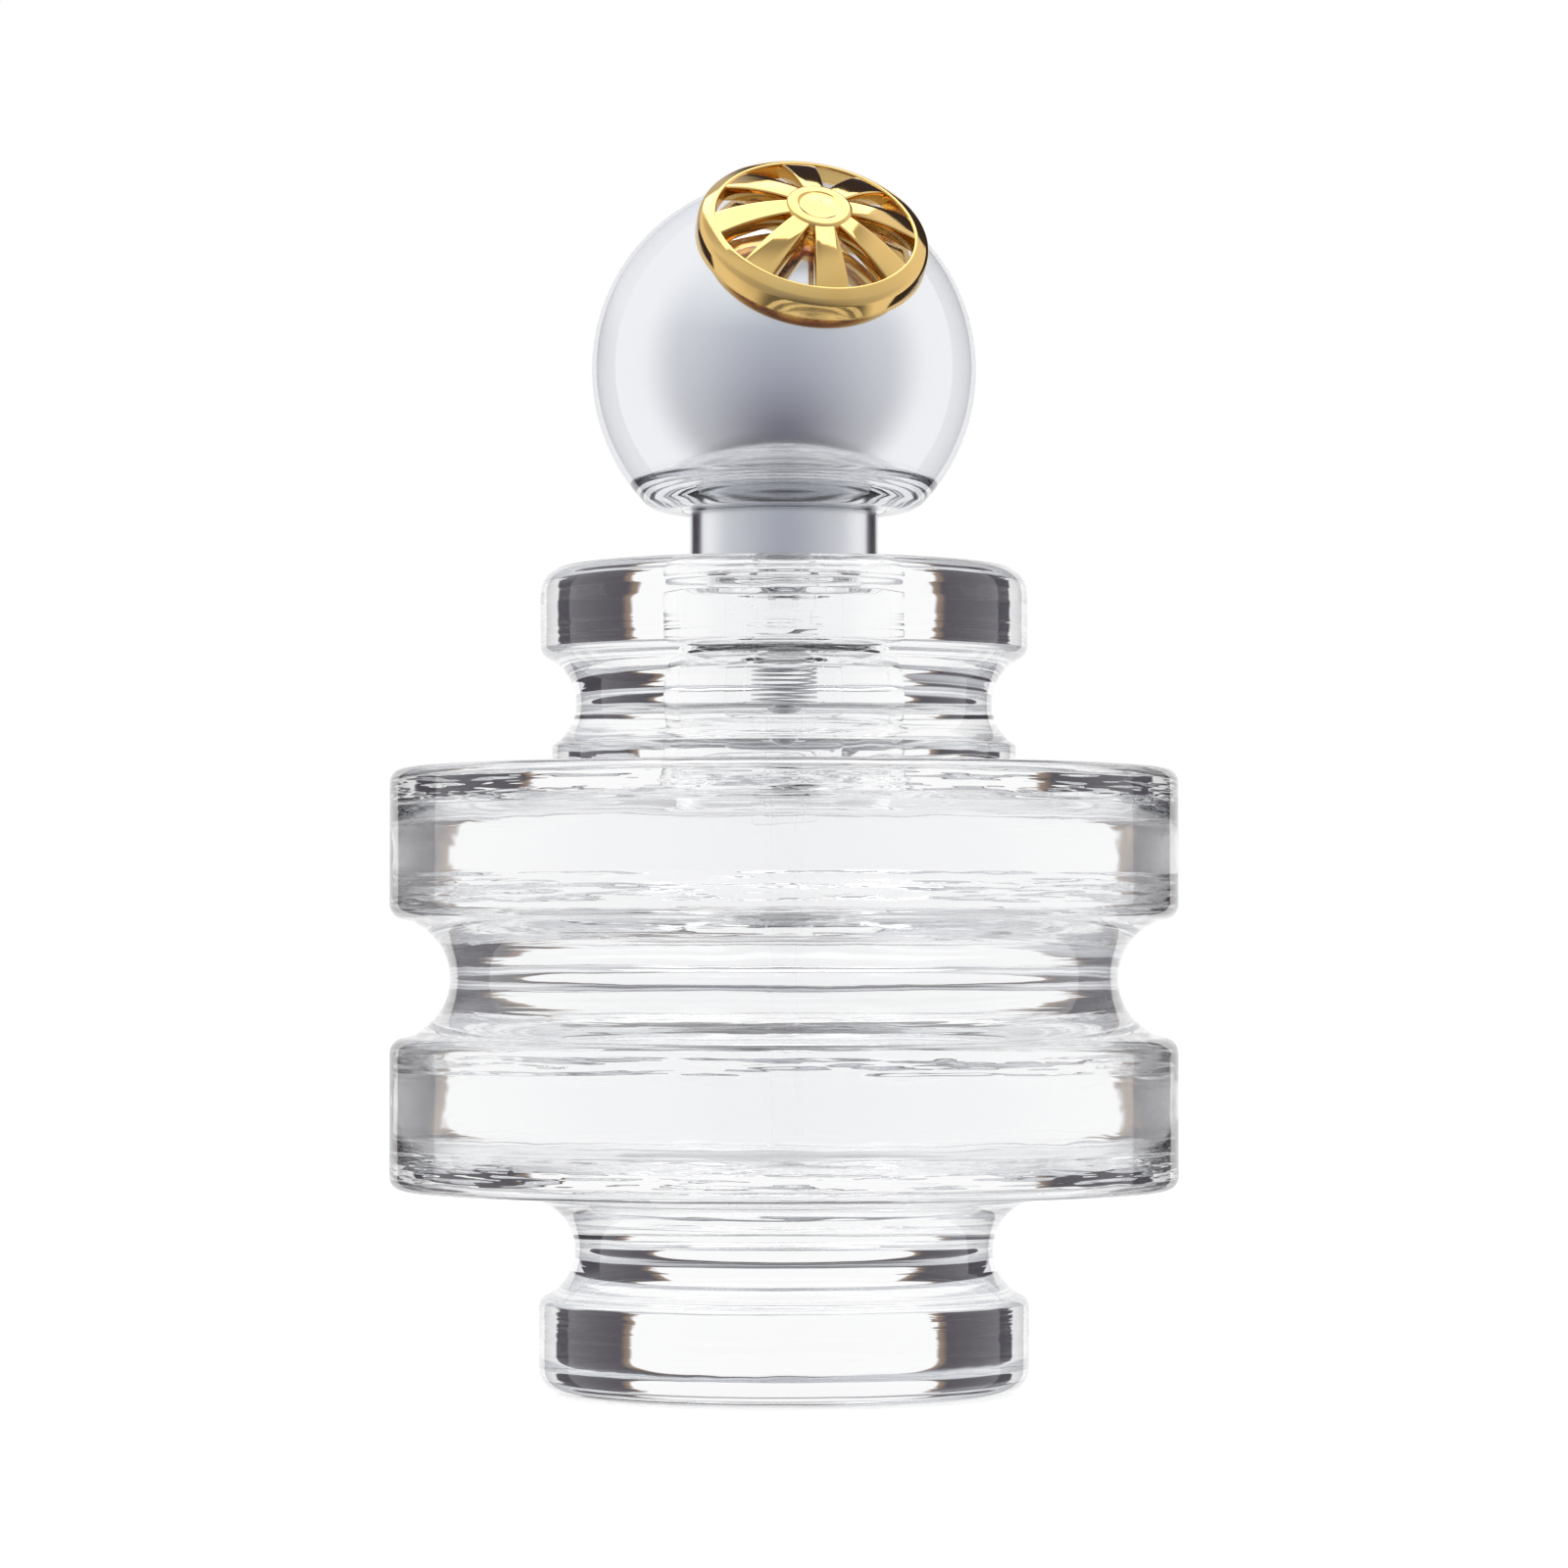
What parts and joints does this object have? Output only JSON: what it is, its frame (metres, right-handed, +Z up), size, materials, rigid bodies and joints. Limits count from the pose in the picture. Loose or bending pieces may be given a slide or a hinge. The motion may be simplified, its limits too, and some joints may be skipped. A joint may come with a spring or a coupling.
{
  "type": "perfume bottle",
  "caption": "Clear glass perfume bottle of stacked turned discs with a crimped spray pump, a silver neck collar and a clear ball cap with a silver core.",
  "frame": {"origin": "centre of the underside of the glass foot, on the bottle's axis", "axes": "+Z up the bottle's axis; the spray leaves along -Y and the ornament leans to the front"},
  "size_m": [0.075, 0.075, 0.1169],
  "materials": {
    "clear_glass": "polished",
    "liquid": "polished",
    "gasket_rubber": "matte",
    "silver_aluminium": "satin",
    "natural_plastic": "satin",
    "white_plastic": "satin",
    "spring_steel": "polished",
    "clear_plastic": "gloss",
    "clear_resin": "polished",
    "silver_coating": "polished",
    "gold_plate": "polished"
  },
  "bodies": {
    "bottle": {"glass_bottle": "clear_glass", "fragrance_liquid": "liquid", "neck_gasket": "gasket_rubber", "crimp_ferrule": "silver_aluminium", "pump_housing": "natural_plastic", "pump_closure": "natural_plastic", "stem_gasket": "gasket_rubber", "return_spring": "spring_steel", "dip_tube": "clear_plastic", "neck_collar": "silver_aluminium", "collar_liner": "white_plastic"},
    "plunger": {"pump_stem": "natural_plastic", "precompression_spring": "spring_steel"},
    "piston": {"pump_piston": "natural_plastic"},
    "inlet_valve": {"inlet_ball": "spring_steel"},
    "button": {"button_body": "white_plastic", "button_sheath": "silver_aluminium", "spray_insert": "white_plastic"},
    "cap": {"cap_shell": "clear_resin", "cap_core": "silver_coating", "cap_sleeve": "silver_aluminium", "ornament": "gold_plate"}
  },
  "joints": [
    {"name": "cap_lift", "type": "slide", "parent": "bottle", "child": "cap", "axis": [0, 0, 1], "range_m": [0, 0.03]},
    {"name": "pump_press", "type": "slide", "parent": "bottle", "child": "plunger", "axis": [0, 0, -1], "range_m": [0, 0.0045], "stiffness_N_per_m": 800, "deforming": ["return_spring"]},
    {"name": "button_turn", "type": "hinge", "parent": "plunger", "child": "button", "pos_m": [0, 0, 0.0968], "axis": [0, 0, 1], "continuous": true},
    {"name": "piston_slip", "type": "slide", "parent": "plunger", "child": "piston", "axis": [0, 0, 1], "range_m": [0, 0.0008], "stiffness_N_per_m": 1000, "deforming": ["precompression_spring"]},
    {"name": "inlet_lift", "type": "slide", "parent": "bottle", "child": "inlet_valve", "axis": [0, 0, 1], "range_m": [0, 0.0008]}
  ]
}
